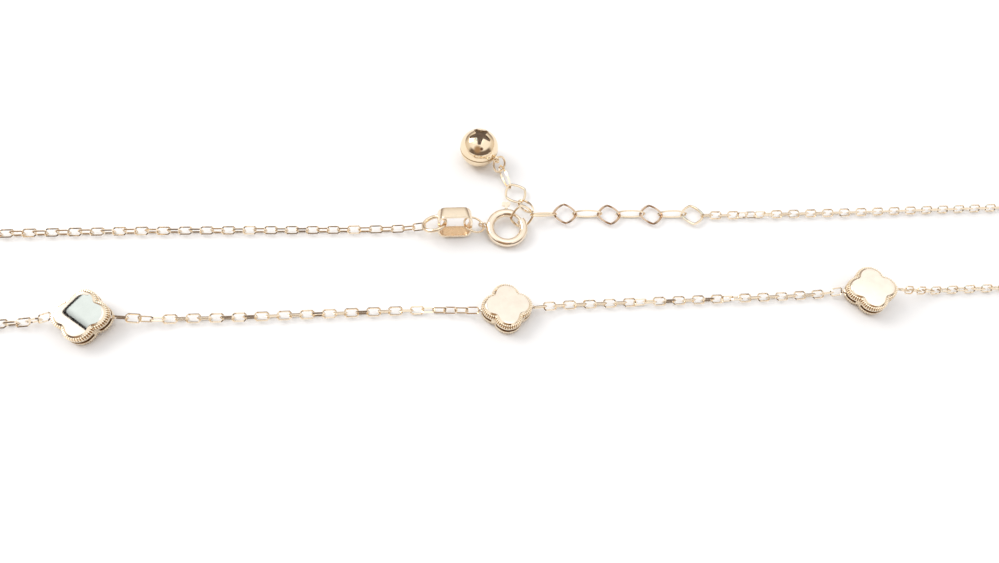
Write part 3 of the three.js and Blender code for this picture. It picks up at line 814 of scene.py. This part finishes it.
def along(line, distances):
    """Points and directions at distances along a stepped line. The line runs on straight past its ends."""
    found = []
    walked = 0.0
    step = 0
    for distance in distances:
        while step < len(line) - 2 and walked + (line[step + 1] - line[step]).length < distance:
            walked += (line[step + 1] - line[step]).length
            step += 1
        ahead = (line[step + 1] - line[step]).normalized()
        found.append((line[step] + ahead * (distance - walked), ahead))
    return found


def between(table, place):
    """Value of a short table of (place, value) rows at a place, run on straight past its ends."""
    for (low, start), (high, end) in zip(table, table[1:]):
        if place <= high or (high, end) == table[-1]:
            return start + (end - start) * (place - low) / (high - low)


def cut_link():
    """An eight-sided ring of four-sided wire, to be drawn out to a rectangle with cut corners.

    Gives its mesh, and how far its wire's middle line is from its own middle.
    """
    radius = LINK["cut"] / (2 * sin(pi / LINK["steps"]))
    reach = radius * cos(pi / LINK["steps"])
    bm = wire_ring(radius, LINK["wire"], LINK["steps"], LINK["sides"])
    spread(bm, 0, LINK["width"] / 2 - LINK["wire"] - reach)
    return as_mesh(bm, "cut_link"), reach


def add_link(bm, link, stretch, place):
    """Adds a copy of the link, drawn out by a stretch at both ends and moved to its place on the chain."""
    before = len(bm.verts)
    bm.from_mesh(link)
    bm.verts.ensure_lookup_table()
    added = bm.verts[before:]
    for vert in added:
        vert.co.x += stretch if vert.co.x > 0 else -stretch
    bmesh.ops.transform(bm, matrix=place, verts=added)


def make_chains():
    link, reach = cut_link()
    draws = Random(LINK_DRAWS)
    for chain in CHAINS:
        line = smooth_line(chain["route"])
        count = chain["links"][-1][0] + 1
        distances = [between(chain["links"], step) for step in range(count)]
        bm = bmesh.new()
        for step, (point, ahead) in enumerate(along(line, distances)):
            pitch = between(chain["links"], step + 0.5) - between(chain["links"], step - 0.5)
            crossed = 90 if step % 2 else 0
            turn = between(chain["turn"], step) + crossed + draws.uniform(-LINK_PLAY, LINK_PLAY)
            side = Vector((0, 0, 1)).cross(ahead).normalized()
            basis = Matrix((ahead, side, ahead.cross(side))).transposed().to_4x4()
            place = Matrix.Translation(point) @ basis @ Matrix.Rotation(radians(turn), 4, "X")
            add_link(bm, link, pitch / 2 + LINK["wire"] - reach, place)
        move(bm, PLAN)
        finish(bm, chain["node"] + "_links", [CHAIN_GOLD], chain["node"], sharp=LINK_SHARP_EDGE)
    bpy.data.meshes.remove(link)


# ---- table and lamp, in metres ----

TABLE = {"half_size": 3, "colour": (0.93, 0.935, 0.95, 1), "roughness": 0.9, "shine": 0.1}
LAMP = {"at": (-0.64, 0.36, 0.62), "size": (0.5, 0.4), "power": 3.2, "colour": (1.0, 0.985, 0.96)}


def make_table():
    bm = bmesh.new()
    bmesh.ops.create_grid(bm, x_segments=1, y_segments=1, size=TABLE["half_size"])
    table = as_object(bm, "table")
    paper = bpy.data.materials.new("pale_table")
    paper.use_nodes = True
    surface = paper.node_tree.nodes["Principled BSDF"]
    surface.inputs["Base Color"].default_value = TABLE["colour"]
    surface.inputs["Roughness"].default_value = TABLE["roughness"]
    surface.inputs["Specular IOR Level"].default_value = TABLE["shine"]
    table.data.materials.append(paper)


def make_lamp():
    """Soft light from a window at the back, on the left."""
    light = bpy.data.lights.new("window", "AREA")
    light.shape = "RECTANGLE"
    light.size, light.size_y = LAMP["size"]
    light.energy = LAMP["power"]
    light.color = LAMP["colour"]
    lamp = bpy.data.objects.new("window", light)
    lamp.location = LAMP["at"]
    lamp.rotation_euler = Vector(lamp.location).to_track_quat("Z", "Y").to_euler()
    scene.collection.objects.link(lamp)


# ---- room that the gold mirrors ----

# Its colour by height: -1 is straight down, 0 is level and 1 is straight up.
ROOM_HEIGHTS = [
    (-1.0, (0.70, 0.67, 0.66)),
    (-0.02, (0.70, 0.67, 0.66)),
    (0.0, (0.80, 0.71, 0.62)),
    (0.38, (0.90, 0.84, 0.77)),
    (0.52, (1.06, 1.03, 1.01)),
    (0.86, (1.13, 1.13, 1.12)),
    (0.94, (1.22, 1.22, 1.22)),
    (1.0, (1.75, 1.75, 1.75)),
]

# A wall fills the room towards one side, between two shares of facing it, and fades out between two heights.
WALLS = [
    {"toward": (0, 1, 0), "side": (0.3, 0.75), "height": (0.18, 0.42), "colour": (0.42, 0.36, 0.335)},
    {"toward": (0, -1, 0), "side": (0.2, 0.55), "height": (0.36, 0.54), "colour": (0.185, 0.145, 0.125)},
]

# A lit ceiling and two dim figures. Each fades in between two angles from its middle.
SOFT_PATCHES = [
    {"toward": (-0.52, 0.03, 0.85), "edge": (18, 6), "colour": (1.45, 1.45, 1.45)},
    {"toward": (-0.27, -0.75, 0.59), "edge": (30, 8), "colour": (0.42, 0.28, 0.17)},
    {"toward": (0.14, -0.755, 0.64), "edge": (12, 5), "colour": (0.16, 0.09, 0.06)},
]

# One corner of a window. Its two edges run out from the corner at two slopes, as far as its reach. Sizes are
# shares of the distance to it.
WINDOW = {
    "toward": (-0.397, 0.189, 0.897),
    "corner": (-0.08, 0.015),
    "slopes": (1.05, 0.95),
    "rounding": 0.03,
    "reach": 0.3,
    "fade": 0.06,
    "front": 0.5,
    "frame": 0.012,
    "frame_edge": 0.003,
    "frame_colour": (0.02, 0.02, 0.02),
    "pane_edge": 0.004,
    "pane": (0.91, 1.09, 1.2),
    "shade_end": 0.04,
    "shade": (0.25, 0.29, 0.33),
    "shade_share": 0.55,
}

MIX_UNDER, MIX_OVER, MIX_RESULT = 6, 7, 2  # a Mix node's sockets for colours

ROOM = bpy.data.worlds.new("room")
ROOM.use_nodes = True
ROOM_TREE = ROOM.node_tree
ROOM_TREE.nodes.clear()
LOOKING = ROOM_TREE.nodes.new("ShaderNodeTexCoord").outputs["Generated"]


def join(value, socket):
    """Sets a socket to a value, or links another node's output to it."""
    if isinstance(value, bpy.types.NodeSocket):
        ROOM_TREE.links.new(value, socket)
    else:
        socket.default_value = value


def facing(direction):
    """How nearly the room is looked at in a direction: 1 straight along it, 0 at right angles to it."""
    node = ROOM_TREE.nodes.new("ShaderNodeVectorMath")
    node.operation = "DOT_PRODUCT"
    join(LOOKING, node.inputs[0])
    join(tuple(direction), node.inputs[1])
    return node.outputs["Value"]


def maths(operation, first, second, third=0.0):
    node = ROOM_TREE.nodes.new("ShaderNodeMath")
    node.operation = operation
    join(first, node.inputs[0])
    join(second, node.inputs[1])
    join(third, node.inputs[2])
    return node.outputs[0]


def rise(value, low, high):
    """Goes smoothly from 0 to 1 as a value goes from low to high."""
    node = ROOM_TREE.nodes.new("ShaderNodeMapRange")
    node.interpolation_type = "SMOOTHSTEP"
    join(value, node.inputs["Value"])
    join(low, node.inputs["From Min"])
    join(high, node.inputs["From Max"])
    return node.outputs["Result"]


def paint(under, colour, share):
    """Lays a colour over the one under it, where its share is above 0."""
    node = ROOM_TREE.nodes.new("ShaderNodeMix")
    node.data_type = "RGBA"
    join(share, node.inputs["Factor"])
    join(under, node.inputs[MIX_UNDER])
    join((*colour, 1), node.inputs[MIX_OVER])
    return node.outputs[MIX_RESULT]


def colour_by_height(height):
    ramp = ROOM_TREE.nodes.new("ShaderNodeValToRGB")
    join(maths("MULTIPLY_ADD", height, 0.5, 0.5), ramp.inputs["Fac"])
    stops = ramp.color_ramp.elements
    stops.remove(stops[1])
    for level, colour in ROOM_HEIGHTS:
        stop = stops.new((level + 1) / 2)
        stop.color = (*colour, 1)
    stops.remove(stops[0])
    return ramp.outputs["Color"]


def with_window(room):
    """The room with the corner of a framed window, its pane in shade along the lower edge."""
    middle = Vector(WINDOW["toward"]).normalized()
    across = (Vector((1, 0, 0)) - middle * middle.x).normalized()
    from_corner = maths("SUBTRACT", facing(across), WINDOW["corner"][0])
    above_corner = maths("SUBTRACT", facing(middle.cross(across)), WINDOW["corner"][1])
    upper, lower = WINDOW["slopes"]
    below_top = maths("SUBTRACT", maths("MULTIPLY", from_corner, upper), above_corner)
    from_top = maths("DIVIDE", below_top, sqrt(1 + upper * upper))
    above_foot = maths("MULTIPLY_ADD", from_corner, lower, above_corner)
    from_foot = maths("DIVIDE", above_foot, sqrt(1 + lower * lower))
    inside = maths("SMOOTH_MIN", from_top, from_foot, WINDOW["rounding"])

    within_reach = rise(from_corner, WINDOW["reach"] + WINDOW["fade"], WINDOW["reach"])
    seen = maths("MULTIPLY", within_reach, maths("GREATER_THAN", facing(middle), WINDOW["front"]))
    frame_share = maths("MULTIPLY", rise(inside, 0, WINDOW["frame_edge"]), seen)
    pane_edge = WINDOW["frame"] + WINDOW["pane_edge"]
    pane_share = maths("MULTIPLY", rise(inside, WINDOW["frame"], pane_edge), seen)
    shade_share = maths("MULTIPLY", rise(from_foot, WINDOW["shade_end"], WINDOW["frame"]), pane_share)
    room = paint(room, WINDOW["frame_colour"], frame_share)
    room = paint(room, WINDOW["pane"], pane_share)
    return paint(room, WINDOW["shade"], maths("MULTIPLY", shade_share, WINDOW["shade_share"]))


def make_room():
    """A bright room: pale ceiling, two dim walls, two dim figures, and the corner of a framed window."""
    height = facing((0, 0, 1))
    room = colour_by_height(height)
    for wall in WALLS:
        below = maths("SUBTRACT", 1.0, rise(height, *wall["height"]))
        aside = rise(facing(wall["toward"]), *wall["side"])
        room = paint(room, wall["colour"], maths("MULTIPLY", aside, below))
    for patch in SOFT_PATCHES:
        outer, inner = (cos(radians(angle)) for angle in patch["edge"])
        share = rise(facing(Vector(patch["toward"]).normalized()), outer, inner)
        room = paint(room, patch["colour"], share)
    sky = ROOM_TREE.nodes.new("ShaderNodeBackground")
    join(with_window(room), sky.inputs["Color"])
    out = ROOM_TREE.nodes.new("ShaderNodeOutputWorld")
    join(sky.outputs["Background"], out.inputs["Surface"])
    scene.world = ROOM


# ---- build ----

make_camera()
make_chains()
make_square_links()
make_oval_links()
make_rings()
make_tag()
make_clasp_body()
make_clasp_bolt()
make_ball()
make_stations()
make_table()
make_lamp()
make_room()
scene.view_settings.view_transform = "Standard"
